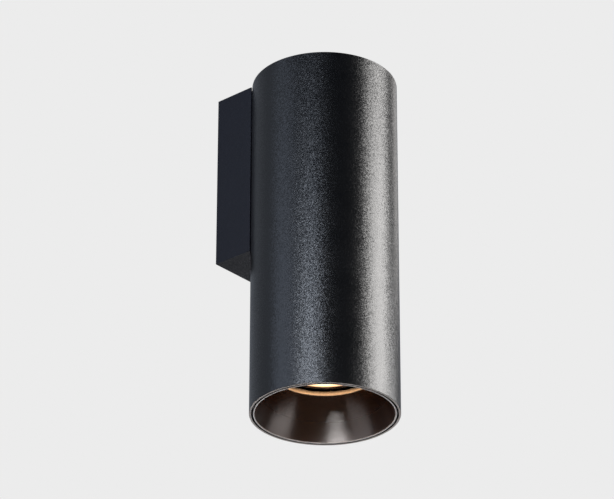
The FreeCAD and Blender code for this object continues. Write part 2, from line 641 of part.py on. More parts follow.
# Terminal block: three poles, screwed on the bracket. Mains below, leads above.
def make_terminal_block():
    front = "0 - plate_thickness - block_depth"
    poles = (-1, 0, 1)
    width = f"{len(poles)} * pole_pitch"
    body = block("terminal_body", width, "block_depth", "block_length",
                 f"0 - {width} / 2", front, "0 - block_length / 2")
    sink = "(m3_head_height + head_gap)"
    middle = "0 - pole_pitch / 2"
    tools = [
        rod("terminal_fixing_hole", "m3_clear_radius", "block_depth + 2 * overrun",
            x=middle, y=f"{front} - overrun", facing="wall"),
        rod("terminal_fixing_sink", "m3_head_radius + thread_gap", f"{sink} + overrun",
            x=middle, y=f"{front} - overrun", facing="wall"),
    ]
    screws = []
    for pole in poles:
        x = f"{pole} * pole_pitch"
        tools.append(rod(f"wire_hole_{pole + 1}", "wire_hole_radius", "block_length + 2 * overrun",
                         x=x, y=WIRE_Y, z="0 - block_length / 2 - overrun"))
        for side, sign in (("low", "0 - "), ("high", "")):
            z = f"{sign}clamp_screw_spacing / 2"
            tools.append(rod(f"clamp_bore_{pole + 1}_{side}", "clamp_screw_radius + thread_gap",
                             "block_depth - wire_depth + overrun",
                             x=x, y=f"{front} - overrun", z=z, facing="wall"))
            bar = rod(f"clamp_bar_{pole + 1}_{side}", "clamp_screw_radius", "clamp_screw_length")
            slot = block(f"clamp_slot_{pole + 1}_{side}", "2 * (clamp_screw_radius + overrun)",
                         "clamp_slot_width", "clamp_slot_depth + overrun",
                         "0 - clamp_screw_radius - overrun", "0 - clamp_slot_width / 2",
                         "clamp_screw_length - clamp_slot_depth")
            clamp = cut(f"clamp_{pole + 1}_{side}", bar, [slot])
            tip = f"{front} + clamp_screw_inset + clamp_screw_length"
            screws.append(place(clamp, x, tip, z, "room"))
    fixing = screw("terminal_fixing_screw", "m3", f"(block_depth - {sink} + plate_thickness - slide_gap)",
                   middle, f"{front} + {sink}", "0", "room")
    return [cut("terminal_block", body, tools), group("terminal_screws", screws), fixing]


# Earth tag and its screw, on the leg of the holder bracket.
def make_earth_parts():
    ring = rod("tag_ring", "tag_radius", "tag_thickness")
    neck = block("tag_neck", "2 * tag_barrel_radius", "tag_barrel_start + tag_thickness",
                 "tag_thickness", "0 - tag_barrel_radius", "0 - tag_barrel_start - tag_thickness")
    barrel = rod("tag_barrel", "tag_barrel_radius", "tag_barrel_length",
                 y="0 - tag_barrel_start", z="tag_barrel_radius", facing="room")
    hole = rod("tag_hole", "m4_clear_radius", "tag_thickness + 2 * overrun", z="0 - overrun")
    bore = rod("tag_bore", "lead_radius + thread_gap", "tag_grip + overrun",
               y=f"tag_grip - {TAG_TOP_Z}", z="tag_barrel_radius", facing="room")
    tag = cut("earth_tag", joined("tag_blank", [ring, neck, barrel]), [hole, bore])
    place(tag, "earth_side", LEG_FRONT_Y, "0", "room")
    fixing = screw("earth_screw", "m4", "earth_screw_length",
                   "earth_side", f"{LEG_FRONT_Y} - tag_thickness", "0", "room")
    return [tag, fixing]


# Leads: insulated wire whose bends are as large as the straight runs beside them allow.
def make_lead(name, route):
    points = [Vector(*(number(text) for text in point)) for point in route]
    bend_share = 0.45
    edges = []
    start = points[0]
    radii = []
    for before, corner, after in zip(points, points[1:], points[2:]):
        incoming = (corner - before).normalize()
        outgoing = (after - corner).normalize()
        turn = incoming.getAngle(outgoing)
        set_back = bend_share * min((corner - before).Length, (after - corner).Length)
        radii.append(set_back / math.tan(turn / 2))
        first = corner - incoming * set_back
        last = corner + outgoing * set_back
        inward = (outgoing - incoming).normalize()
        middle = corner + inward * (radii[-1] / math.cos(turn / 2) - radii[-1])
        edges.append(Part.LineSegment(start, first).toShape())
        edges.append(Part.Arc(first, middle, last).toShape())
        start = last
    edges.append(Part.LineSegment(start, points[-1]).toShape())
    spine = Part.Wire(edges)
    radius = number("lead_radius")
    section = Part.Wire(Part.makeCircle(radius, points[0], points[1] - points[0]))
    item = doc.addObject("Part::Feature", name)
    item.Shape = spine.makePipeShell([section], True, False)
    item.Placement = FreeCAD.Placement()
    smallest = ", ".join(f"{value:.1f}" for value in radii)
    ratio = item.Shape.Volume / (math.pi * radius ** 2 * spine.Length)
    print(f"{name}: {spine.Length:.1f} mm, bends {smallest}, volume to section times length {ratio:.4f}")
    return item


def make_leads():
    block_start = "block_length / 2 - wire_grip"
    bend_z = f"{LEAD_HOLE_Z} - lead_bend_drop"
    over_shelf = f"{SHELF_Z} + plate_thickness + lead_rise"
    blade_top = f"{BLADE_Z} + contact_thickness"
    down_y = f"{LEG_FRONT_Y} - lead_clearance"
    live = make_lead("lead_live", [
        ("0 - pole_pitch", WIRE_Y, block_start),
        ("0 - pole_pitch", WIRE_Y, bend_z),
        (f"0 - {LEAD_SPREAD}", WIRE_Y, LEAD_HOLE_Z),
        (f"0 - {LEAD_SPREAD}", down_y, LEAD_HOLE_Z),
        ("0 - pin_circle", down_y, f"{over_shelf} + lead_slope"),
        ("0 - pin_circle", AXIS_Y, over_shelf),
        ("0 - pin_circle", AXIS_Y, blade_top),
    ])
    neutral = make_lead("lead_neutral", [
        ("0", WIRE_Y, block_start),
        ("0", WIRE_Y, LEAD_HOLE_Z),
        ("0", down_y, LEAD_HOLE_Z),
        ("pin_circle", down_y, f"{over_shelf} + lead_slope"),
        ("pin_circle", AXIS_Y, over_shelf),
        ("pin_circle", AXIS_Y, blade_top),
    ])
    tag_y = f"{LEG_FRONT_Y} - tag_barrel_radius"
    earth_y = f"{LEG_FRONT_Y} - earth_clearance"
    earth = make_lead("lead_earth", [
        ("pole_pitch", WIRE_Y, block_start),
        ("pole_pitch", WIRE_Y, bend_z),
        (LEAD_SPREAD, WIRE_Y, LEAD_HOLE_Z),
        (LEAD_SPREAD, earth_y, LEAD_HOLE_Z),
        ("earth_side", earth_y, f"{TAG_TOP_Z} + tag_grip + earth_bend_rise"),
        ("earth_side", tag_y, f"{TAG_TOP_Z} + tag_grip"),
        ("earth_side", tag_y, f"{TAG_TOP_Z} - tag_grip"),
    ])
    return [live, neutral, earth]


# Lamp: a 50 mm reflector lamp, with its light sources behind a frosted lens.
def make_lamp():
    body_inner = f"{LAMP_RADIUS} - lamp_wall"
    lens = f"{LAMP_RADIUS} - lamp_rim_width - fit_gap"
    body = turned("lamp_body", [
        (body_inner, "lamp_rim_height"),
        (LAMP_RADIUS, "lamp_rim_height"),
        (LAMP_RADIUS, "lamp_straight"),
        ("lamp_neck_radius", "lamp_neck_height"),
        ("lamp_neck_radius - lamp_wall", "lamp_neck_height"),
        (body_inner, "lamp_straight"),
    ], y=AXIS_Y, z=LAMP_FACE_Z)
    rim = turned("lamp_rim", [
        (f"{LAMP_RADIUS} - lamp_rim_width", "0"),
        (f"{LAMP_RADIUS} - edge_chamfer", "0"),
        (LAMP_RADIUS, "edge_chamfer"),
        (LAMP_RADIUS, "lamp_rim_height"),
        (f"{LAMP_RADIUS} - lamp_rim_width", "lamp_rim_height"),
    ], y=AXIS_Y, z=LAMP_FACE_Z)
    lip_top = "lamp_rim_height + lens_lip_height"
    lens = turned("lamp_lens", [
        ("0", "lens_inset"),
        (lens, "lens_inset"),
        (lens, "lamp_rim_height"),
        (f"{lens} + lens_lip", "lamp_rim_height"),
        (f"{lens} + lens_lip", lip_top),
        ("0", lip_top),
    ], y=AXIS_Y, z=LAMP_FACE_Z)
    plug = "lamp_neck_radius - lamp_wall - fit_gap"
    plug_low = "lamp_neck_height - lamp_plug_depth"
    base_blank = turned("lamp_base_blank", [
        ("0", plug_low),
        (plug, plug_low),
        (plug, "lamp_neck_height"),
        ("lamp_neck_radius", "lamp_neck_height"),
        ("lamp_neck_radius", "lamp_neck_height + lamp_collar"),
        ("lamp_base_radius", "lamp_neck_height + lamp_collar"),
        ("lamp_base_radius", "lamp_length - edge_chamfer"),
        ("lamp_base_radius - edge_chamfer", "lamp_length"),
        ("0", "lamp_length"),
    ])
    sockets = []
    pins = []
    for side, sign in SIDES:
        x = f"{sign}pin_circle"
        sockets.append(rod(f"pin_socket_{side}", "pin_neck_radius + thread_gap", "pin_root + overrun",
                           x=x, z="lamp_length - pin_root"))
        pins.append(turned(f"pin_{side}", [
            ("0", "0 - pin_root"),
            ("pin_neck_radius", "0 - pin_root"),
            ("pin_neck_radius", "pin_neck_height"),
            ("pin_head_radius", "pin_neck_height"),
            ("pin_head_radius", "pin_neck_height + pin_head_height - edge_chamfer"),
            ("pin_head_radius - edge_chamfer", "pin_neck_height + pin_head_height"),
            ("0", "pin_neck_height + pin_head_height"),
        ], x=x, y=AXIS_Y, z=f"{LAMP_FACE_Z} + lamp_length"))
    base = place(cut("lamp_base", base_blank, sockets), y=AXIS_Y, z=LAMP_FACE_Z)
    board = rod("led_board", f"{body_inner} - fit_gap", "board_thickness",
                y=AXIS_Y, z=f"{LAMP_FACE_Z} + lamp_straight - board_thickness")
    return [body, rim, lens, base, group("lamp_pins", pins), board, make_chips()]


def make_chips():
    """One light source in the middle of the board and six in a ring."""
    places = [("0", AXIS_Y)]
    for index in range(6):
        places.append(around("chip_circle", 60 * index))
    low = f"{LAMP_FACE_Z} + lamp_straight - board_thickness - chip_height"
    chips = []
    for index, (x, y) in enumerate(places):
        chips.append(block(f"chip_{index}", "chip_size", "chip_size", "chip_height",
                           f"{x} - chip_size / 2", f"{y} - chip_size / 2", low))
    return group("led_chips", chips)


# Reflector: spun aluminium cone with a rolled rim and a flange at the neck.
def make_reflector():
    mouth = f"({RIM_RADIUS} - mouth_edge)"
    skirt = "rim_depth - slide_gap"
    slope = f"(({mouth} - {NECK_RADIUS}) / neck_height)"
    sheet_across = f"(reflector_sheet * sqrt(1 + {slope}^2))"
    flange_low = "(neck_height - reflector_sheet)"
    blank = turned("reflector_blank", [
        (mouth, "0"),
        (NECK_RADIUS, "neck_height"),
        (FLANGE_RADIUS, "neck_height"),
        (FLANGE_RADIUS, flange_low),
        (f"{mouth} - {slope} * {flange_low} + {sheet_across}", flange_low),
        (mouth, f"{sheet_across} / {slope}"),
        (mouth, skirt),
        (RIM_RADIUS, skirt),
        (RIM_RADIUS, "0"),
    ], y=AXIS_Y, z=MOUTH_Z)
    return cut("reflector", blank, spring_screw_holes("reflector"))


def spring_places():
    """The three springs stand a third of a turn apart, one of them to the front."""
    places = []
    for index in range(3):
        turn = 120 * index - 90
        places.append((index, turn, *around(SPRING_SCREW_CIRCLE, turn)))
    return places


def spring_screw_holes(name):
    """Holes through the flange and the ring, which stop short of the cone below them."""
    holes = []
    for index, turn, x, y in spring_places():
        holes.append(rod(f"{name}_hole_{index}", "spring_screw_radius + thread_gap",
                         "2 * reflector_sheet + neck_ring_height + overrun",
                         x=x, y=y, z=f"{MOUTH_Z} + neck_height - 2 * reflector_sheet"))
    return holes


# Neck ring: bare turned aluminium on the flange.
def make_neck_ring():
    top = "neck_ring_height"
    blank = turned("neck_ring_blank", [
        (NECK_RADIUS, "0"),
        (FLANGE_RADIUS, "0"),
        (FLANGE_RADIUS, f"{top} - ring_chamfer"),
        (f"{FLANGE_RADIUS} - ring_chamfer", top),
        (NECK_RADIUS, top),
    ], y=AXIS_Y, z=f"{MOUTH_Z} + neck_height")
    return cut("neck_ring", blank, spring_screw_holes("neck_ring"))


# Springs: bent stainless strip, screwed on the neck ring, pressing on the tube.
def make_springs():
    foot = "(neck_height + neck_ring_height)"
    foot_start = f"{NECK_RADIUS} + spring_foot_inset"
    bend = f"{FLANGE_RADIUS} + spring_foot_overhang"
    crown = f"sqrt(({TUBE_BORE} - slide_gap)^2 - (spring_width / 2)^2)"
    crown_z = f"{foot} + spring_crown_rise"
    tip = f"{TUBE_BORE} - spring_tip_gap"
    tip_z = f"{crown_z} + spring_tip_rise"
    springs = []
    screws = []
    for index, turn, x, y in spring_places():
        body = doc.addObject("PartDesign::Body", f"spring_body_{index}")
        profile = outline(body, f"spring_profile_{index}", [
            (foot_start, foot),
            (bend, foot),
            (crown, crown_z),
            (tip, tip_z),
            (f"{tip} - spring_strip", tip_z),
            (f"{crown} - spring_strip", crown_z),
            (f"{bend} - spring_strip / 2", f"{foot} + spring_strip"),
            (foot_start, f"{foot} + spring_strip"),
        ])
        strip = body.newObject("PartDesign::Pad", f"spring_pad_{index}")
        strip.Profile = profile
        strip.setExpression("Length", sized("spring_width"))
        strip.Midplane = True
        hole = rod(f"spring_hole_{index}", "spring_screw_radius + thread_gap", "2 * overrun",
                   x=SPRING_SCREW_CIRCLE, z=f"{foot} - overrun")
        spring = cut(f"spring_{index}", body, [hole])
        springs.append(place(spring, y=AXIS_Y, z=MOUTH_Z, turn=turn))
        screws.append(screw(f"spring_screw_{index}", "spring_screw", "spring_screw_length",
                            x, y, f"{MOUTH_Z} + {foot} + spring_strip", "up"))
    return [group("reflector_springs", springs), group("spring_screws", screws)]


nodes += [make_tube(), make_top_cap(), make_wall_box(), make_wall_bracket()]
nodes += [make_box_lock_screws(), make_cable_bush()]
nodes += make_tube_fixings()
nodes += [make_holder_bracket(), make_lampholder(), make_holder_cap(), make_holder_contacts()]
nodes += [make_holder_screws(), make_lead_grommet()]
nodes += make_terminal_block()
nodes += make_earth_parts()
nodes += make_leads()
nodes += make_lamp()
nodes += [make_reflector(), make_neck_ring()]
nodes += make_springs()

doc.recompute()
failed = [item.Label for item in doc.Objects if {"Invalid", "Error"} & set(item.State)]
for node in nodes:
    if node.Shape.isNull() or not node.Shape.isValid() or not node.Shape.Solids:
        failed.append(node.Label)
if failed:
    raise SystemExit("not sound: " + ", ".join(failed))

os.makedirs("parts", exist_ok=True)
for node in nodes:
    node.Shape.exportStep(f"parts/{node.Label}.step")
print(f"wrote {len(nodes)} nodes")
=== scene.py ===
import math

import bmesh
import bpy
from mathutils import Matrix, Vector


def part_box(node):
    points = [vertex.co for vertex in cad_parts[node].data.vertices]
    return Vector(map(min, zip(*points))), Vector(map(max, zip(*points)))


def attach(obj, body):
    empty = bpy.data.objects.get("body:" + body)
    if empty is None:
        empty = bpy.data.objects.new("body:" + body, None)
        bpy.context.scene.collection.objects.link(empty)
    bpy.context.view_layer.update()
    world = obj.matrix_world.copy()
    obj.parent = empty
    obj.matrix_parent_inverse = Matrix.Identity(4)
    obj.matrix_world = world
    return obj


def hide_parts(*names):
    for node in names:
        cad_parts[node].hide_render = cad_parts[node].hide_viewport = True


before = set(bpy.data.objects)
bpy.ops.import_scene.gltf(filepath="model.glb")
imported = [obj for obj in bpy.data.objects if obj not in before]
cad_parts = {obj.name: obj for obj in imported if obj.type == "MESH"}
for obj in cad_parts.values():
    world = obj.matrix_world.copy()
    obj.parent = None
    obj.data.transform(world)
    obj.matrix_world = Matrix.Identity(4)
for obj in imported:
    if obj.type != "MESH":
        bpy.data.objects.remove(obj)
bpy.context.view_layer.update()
mm = 0.001


# Tube. Extruded aluminium, 80 mm across with a 2.5 mm wall. Both ends are turned out to a
# thin rim, then it is powder coated black with a fine sand grain. The leads and two screws
# pass through its back.
tube_axis = Vector((0, -54 * mm, 0))
tube_radius = 40 * mm
tube_bore = 37.5 * mm
tube_end_bore = 38.6 * mm
tube_top = 51 * mm
mouth_z = -147 * mm
lid_thickness = 3 * mm
mouth_recess = 6 * mm
mouth_chamfer = 0.35 * mm
tube_edge = 0.22 * mm
lead_hole = (5 * mm, 37 * mm)
tube_screw_holes = ((2.2 * mm, 24 * mm), (2.2 * mm, -24 * mm))
turned_steps = 256
hole_steps = 48
edge_segments = 3
rounded_from = math.radians(25)
creased_from = math.radians(40)
merge_distance = 1e-7


def rounded(shape, width):
    """Rounds every edge of a mesh at which its faces turn by more than rounded_from."""
    edges = [edge for edge in shape.edges
             if len(edge.link_faces) == 2 and edge.calc_face_angle() > rounded_from]
    bmesh.ops.bevel(shape, geom=edges, offset=width, offset_type="OFFSET", segments=edge_segments,
                    profile=0.5, affect="EDGES", clamp_overlap=True, material=-1)


def finished(name, shape, materials, body):
    """Makes a piece of the object from a mesh in its place."""
    mesh = bpy.data.meshes.new(name)
    shape.to_mesh(mesh)
    shape.free()
    mesh.shade_smooth()
    mesh.set_sharp_from_angle(angle=creased_from)
    for material in materials:
        mesh.materials.append(material)
    piece = bpy.data.objects.new(name, mesh)
    bpy.context.collection.objects.link(piece)
    piece.modifiers.new("even_faces", "WEIGHTED_NORMAL").keep_sharp = True
    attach(piece, body)
    return piece


def turned(outline, edge, ring=True):
    """Mesh turned on a lathe about the tube's axis, from (radius, height) corners."""
    shape = bmesh.new()
    corners = [shape.verts.new((radius, 0, height)) for radius, height in outline]
    pairs = list(zip(corners, corners[1:]))
    if ring:
        pairs.append((corners[-1], corners[0]))
    edges = [shape.edges.new(pair) for pair in pairs]
    bmesh.ops.spin(shape, geom=corners + edges, cent=(0, 0, 0), axis=(0, 0, 1),
                   angle=math.tau, steps=turned_steps, use_merge=True, use_duplicate=False)
    bmesh.ops.remove_doubles(shape, verts=shape.verts, dist=merge_distance)
    bmesh.ops.recalc_face_normals(shape, faces=shape.faces)
    rounded(shape, edge)
    bmesh.ops.translate(shape, verts=shape.verts, vec=tube_axis)
    return shape


def bar(radius, length, start, facing):
    """Round tool of a drilled hole."""
    shape = bmesh.new()
    turn = Vector((0, 0, 1)).rotation_difference(Vector(facing)).to_matrix().to_4x4()
    place = Matrix.Translation(start) @ turn @ Matrix.Translation((0, 0, length / 2))
    bmesh.ops.create_cone(shape, cap_ends=True, segments=hole_steps, radius1=radius,
                          radius2=radius, depth=length, matrix=place)
    return shape


def without(shape, tools):
    """What is left of a mesh when the tools' shapes are cut away from it."""
    base_mesh = bpy.data.meshes.new("base")
    shape.to_mesh(base_mesh)
    shape.free()
    base = bpy.data.objects.new("base", base_mesh)
    bpy.context.collection.objects.link(base)
    cutters = []
    for tool in tools:
        tool_mesh = bpy.data.meshes.new("tool")
        tool.to_mesh(tool_mesh)
        tool.free()
        cutter = bpy.data.objects.new("tool", tool_mesh)
        bpy.context.collection.objects.link(cutter)
        cutters.append(cutter)
        cut = base.modifiers.new("cut", "BOOLEAN")
        cut.operation = "DIFFERENCE"
        cut.solver = "EXACT"
        cut.object = cutter
    bpy.context.view_layer.update()
    cut_base = base.evaluated_get(bpy.context.evaluated_depsgraph_get())
    left = bpy.data.meshes.new_from_object(cut_base)
    result = bmesh.new()
    result.from_mesh(left)
    for item in [base, *cutters]:
        bpy.data.objects.remove(item)
    bmesh.ops.remove_doubles(result, verts=result.verts, dist=merge_distance)
    return result


def colour(code):
    """Linear colour of an sRGB hex value."""
    shares = [int(code[start:start + 2], 16) / 255 for start in (1, 3, 5)]
    linear = [s / 12.92 if s <= 0.04045 else ((s + 0.055) / 1.055) ** 2.4 for s in shares]
    return (*linear, 1)


def add(tree, kind, **settings):
    """Adds a node. Each setting is a property of the node, or a socket's value or link.
    Sockets go by their name, or by in_ and their number where names repeat."""
    node = tree.nodes.new("ShaderNode" + kind)
    for name, value in settings.items():
        if name.startswith("in_"):
            socket = node.inputs[int(name[3:])]
        else:
            socket = node.inputs.get(name.replace("_", " "))
        if socket is None:
            setattr(node, name, value)
        elif isinstance(value, bpy.types.NodeSocket):
            tree.links.new(value, socket)
        else:
            socket.default_value = value
    return node


def start_material(name, **settings):
    """New material. The values that are the same all over are set on the shader's sockets."""
    material = bpy.data.materials.new(name)
    material.use_nodes = True
    tree = material.node_tree
    tree.nodes.clear()
    shader = add(tree, "BsdfPrincipled", **settings)
    add(tree, "OutputMaterial", Surface=shader.outputs[0])
    return material, tree, shader


# Grains of a cured coat, a little over 0.4 mm across. Their tilted flanks catch a light that
# a smooth wall would miss.
coat_grain = 0.42 * mm


def grainy_normal(tree, place, tilt):
    """Surface direction that leans another way on each grain."""
    grains = add(tree, "TexVoronoi", Vector=place, Scale=1 / coat_grain)
    lean = add(tree, "VectorMath", operation="SUBTRACT", in_0=grains.outputs["Color"],
               in_1=(0.5, 0.5, 0.5))
    face = add(tree, "NewGeometry").outputs["Normal"]
    flank = add(tree, "VectorMath", operation="MULTIPLY_ADD", in_0=lean.outputs[0],
                in_1=(tilt, tilt, tilt), in_2=face)
    return add(tree, "VectorMath", operation="NORMALIZE", in_0=flank.outputs[0]).outputs[0]


# Polyester powder coat, deep black with a cold tint and a fine sand grain. The grain shows as
# speckle in half light and melts into soft bands in full light. On flat faces it lies thicker
# and has a duller gloss.
def powder_coat(name, low, high, roughness, gloss_level, tilt):
    coat, tree, shader = start_material(name, IOR=1.55, Specular_IOR_Level=gloss_level)
    place = add(tree, "TexCoord").outputs["Object"]
    cloud = add(tree, "TexNoise", Vector=place, Scale=1 / (14 * mm), Detail=3)
    tint = add(tree, "Mix", data_type="RGBA", in_0=cloud.outputs["Fac"],
               in_6=colour(low), in_7=colour(high))
    tree.links.new(tint.outputs[2], shader.inputs["Base Color"])
    gloss = add(tree, "MapRange", Value=cloud.outputs["Fac"], To_Min=roughness - 0.03,
                To_Max=roughness + 0.03)
    tree.links.new(gloss.outputs[0], shader.inputs["Roughness"])
    film = add(tree, "TexNoise", Vector=place, Scale=1 / (3.2 * mm), Detail=2)
    relief = add(tree, "Bump", Strength=1.0, Distance=0.025 * mm, Height=film.outputs["Fac"],
                 Normal=grainy_normal(tree, place, tilt))
    tree.links.new(relief.outputs[0], shader.inputs["Normal"])
    return coat


# The turned end of the tube: the coat is thin on its cut face, and shows a warm grey satin.
def turned_edge():
    edge, tree, shader = start_material("thin_coat_on_turned_end", Roughness=0.5, IOR=1.5)
    place = add(tree, "TexCoord").outputs["Object"]
    wear = add(tree, "TexNoise", Vector=place, Scale=1 / (3 * mm), Detail=4)
    tint = add(tree, "Mix", data_type="RGBA", in_0=wear.outputs["Fac"],
               in_6=colour("#a0978f"), in_7=colour("#bab1a9"))
    tree.links.new(tint.outputs[2], shader.inputs["Base Color"])
    lines = add(tree, "TexNoise", Vector=place, Scale=1 / (0.4 * mm), Detail=1)
    relief = add(tree, "Bump", Strength=0.3, Distance=0.02 * mm, Height=lines.outputs["Fac"])
    tree.links.new(relief.outputs[0], shader.inputs["Normal"])
    return edge


black_coat = powder_coat("sand_grain_powder_coat", "#020305", "#040507",
                         roughness=0.29, gloss_level=0.5, tilt=0.165)
flat_coat = powder_coat("flat_grain_powder_coat", "#060912", "#080c16",
                        roughness=0.65, gloss_level=0.2, tilt=0.22)
end_coat = turned_edge()

tube_shape = turned([
    (tube_end_bore, mouth_z + mouth_chamfer),
    (tube_end_bore + mouth_chamfer, mouth_z),
    (tube_radius, mouth_z),
    (tube_radius, tube_top),
    (tube_end_bore, tube_top),
    (tube_end_bore, tube_top - lid_thickness),
    (tube_bore, tube_top - lid_thickness),
    (tube_bore, mouth_z + mouth_recess),
    (tube_end_bore, mouth_z + mouth_recess),
], tube_edge)
hole_length = 60 * mm
nearly_level = 0.9


def back_holes():
    """Tools of the holes for the leads and the two screws, through tube and box."""
    return [bar(radius, hole_length, tube_axis + Vector((0, 0, height)), (0, 1, 0))
            for radius, height in (lead_hole, *tube_screw_holes)]


tube_shape = without(tube_shape, back_holes())
for face in tube_shape.faces:
    face_z = face.calc_center_median().z
    if face.normal.z < -nearly_level and face_z < mouth_z + tube_edge:
        face.material_index = 1
    elif face.normal.z > nearly_level and face_z > tube_top - tube_edge:
        face.material_index = 2
tube = finished("coated_tube", tube_shape,
                [black_coat, end_coat, flat_coat], "fixture")
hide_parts("tube")


# Lid. Aluminium disc pressed into the tube's upper recess, flush with the end. A ring under
# it centres it in the bore.
lid_radius = 38.5 * mm
lid_ring_outer = 37.4 * mm
lid_ring_inner = 35.4 * mm
lid_ring_height = 4 * mm
lid_edge = 0.25 * mm
lid_low = tube_top - lid_thickness
lid = finished("coated_lid", turned([
    (0, lid_low),
    (lid_ring_inner, lid_low),
    (lid_ring_inner, lid_low - lid_ring_height),
    (lid_ring_outer, lid_low - lid_ring_height),
    (lid_ring_outer, lid_low),
    (lid_radius, lid_low),
    (lid_radius, tube_top),
    (0, tube_top),
], lid_edge, ring=False), [flat_coat], "fixture")
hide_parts("top_cap")


# Box between tube and wall. Cast aluminium, open to the wall, with a concave front that
# follows the tube. It is coated like the lid.
box_low, box_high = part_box("wall_box")
box_wall = 2.5 * mm
box_end_wall = 3 * mm
saddle_radius = 40.2 * mm
lock_hole_radius = 2 * mm
lock_hole_y = -5.25 * mm
box_edge = 0.5 * mm
same_plane = math.radians(0.2)
overrun = 4 * mm


def brick(low, high):
    """Straight block from its lowest to its highest corner."""
    shape = bmesh.new()
    size = Vector(high) - Vector(low)
    middle = (Vector(high) + Vector(low)) / 2
    place = Matrix.Translation(middle) @ Matrix.Diagonal((*size, 1))
    bmesh.ops.create_cube(shape, size=1, matrix=place)
    return shape


def round_bar(radius, low_z, high_z):
    """Thick round bar about the tube's axis."""
    shape = bmesh.new()
    middle = tube_axis + Vector((0, 0, (low_z + high_z) / 2))
    bmesh.ops.create_cone(shape, cap_ends=True, segments=turned_steps, radius1=radius,
                          radius2=radius, depth=high_z - low_z,
                          matrix=Matrix.Translation(middle))
    return shape


room = without(
    brick((box_low.x + box_wall, box_low.y - overrun, box_low.z + box_end_wall),
          (box_high.x - box_wall, overrun, box_high.z - box_end_wall)),
    [round_bar(saddle_radius + box_wall, box_low.z - overrun, box_high.z + overrun)])
saddle = round_bar(saddle_radius, box_low.z - overrun, box_high.z + overrun)
lock_holes = bar(lock_hole_radius, box_high.z - box_low.z + 2 * overrun,
                 Vector((0, lock_hole_y, box_low.z - overrun)), (0, 0, 1))
box_shape = without(brick(box_low, box_high), [room, saddle, *back_holes(), lock_holes])
bmesh.ops.dissolve_limit(box_shape, angle_limit=same_plane, verts=box_shape.verts,
                         edges=box_shape.edges, delimit={"NORMAL"})
rounded(box_shape, box_edge)
wall_box = finished("coated_wall_box", box_shape, [flat_coat],
                    "fixture")
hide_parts("wall_box")


# Reflector. Cone spun from 1 mm aluminium sheet, with a rolled rim that stands free in the
# tube's end, and a flat flange at its neck. Dark brown-black satin lacquer inside.
rim_radius = 38 * mm
cone_mouth = 37.1 * mm
cone_neck = 27.5 * mm
cone_height = 23.6 * mm
cone_sheet = 1 * mm
flange_radius = 33 * mm
skirt_height = 5.7 * mm
cone_edge = 0.3 * mm
spring_circle = 31 * mm
spring_hole_radius = 1.25 * mm
spring_turns = (-90, 30, 150)
faces_down = -0.3
neck_z = mouth_z + cone_height
cone_slope = (cone_mouth - cone_neck) / cone_height
sheet_across = cone_sheet * math.sqrt(1 + cone_slope ** 2)


def spring_holes():
    """Tools of the three holes for the spring screws, through flange and ring."""
    tools = []
    for turn in spring_turns:
        around = math.radians(turn)
        across = Vector((math.cos(around), math.sin(around), 0)) * spring_circle
        start = tube_axis + across + Vector((0, 0, neck_z - 2 * cone_sheet))
        tools.append(bar(spring_hole_radius, 3 * cone_sheet + overrun, start, (0, 0, 1)))
    return tools


# Satin lacquer on spun sheet: warm black with a half-matt gloss. The rings left by the
# spinning tool draw each highlight out into a streak from the mouth to the neck. The coat
# is thicker and smoother towards the neck.
def satin_lacquer():
    lacquer, tree, shader = start_material("satin_lacquer_on_spun_sheet", IOR=1.6,
                                           Specular_IOR_Level=1.0, Anisotropic=0.5,
                                           Anisotropic_Rotation=0.25)
    place = add(tree, "TexCoord").outputs["Object"]
    off_axis = add(tree, "VectorMath", operation="SUBTRACT", in_0=place, in_1=tuple(tube_axis))
    along_rings = add(tree, "VectorMath", operation="CROSS_PRODUCT", in_0=(0, 0, 1),
                      in_1=off_axis.outputs[0])
    tree.links.new(along_rings.outputs[0], shader.inputs["Tangent"])
    cloud = add(tree, "TexNoise", Vector=place, Scale=1 / (6 * mm), Detail=4)
    tint = add(tree, "Mix", data_type="RGBA", in_0=cloud.outputs["Fac"],
               in_6=colour("#120601"), in_7=colour("#180803"))
    tree.links.new(tint.outputs[2], shader.inputs["Base Color"])
    height = add(tree, "SeparateXYZ", Vector=place)
    gloss = add(tree, "MapRange", Value=height.outputs["Z"], From_Min=mouth_z, From_Max=neck_z,
                To_Min=0.34, To_Max=0.19)
    tree.links.new(gloss.outputs[0], shader.inputs["Roughness"])
    rings = add(tree, "TexNoise", noise_dimensions="1D", W=height.outputs["Z"],
                Scale=1 / (0.5 * mm), Detail=2)
    relief = add(tree, "Bump", Strength=0.5, Distance=0.02 * mm, Height=rings.outputs["Fac"],
                 Normal=grainy_normal(tree, place, 0.05))
    tree.links.new(relief.outputs[0], shader.inputs["Normal"])
    return lacquer


# The rolled rim is rubbed bare where it is handled: a thin light grey line round the mouth.
def rubbed_rim():
    rim, tree, shader = start_material("rubbed_rolled_rim", Roughness=0.45, Metallic=0.3)
    place = add(tree, "TexCoord").outputs["Object"]
    wear = add(tree, "TexNoise", Vector=place, Scale=1 / (2 * mm), Detail=3)
    tint = add(tree, "Mix", data_type="RGBA", in_0=wear.outputs["Fac"],
               in_6=colour("#a5a09c"), in_7=colour("#bcb8b4"))
    tree.links.new(tint.outputs[2], shader.inputs["Base Color"])
    relief = add(tree, "Bump", Strength=0.3, Distance=0.02 * mm, Height=wear.outputs["Fac"])
    tree.links.new(relief.outputs[0], shader.inputs["Normal"])
    return rim


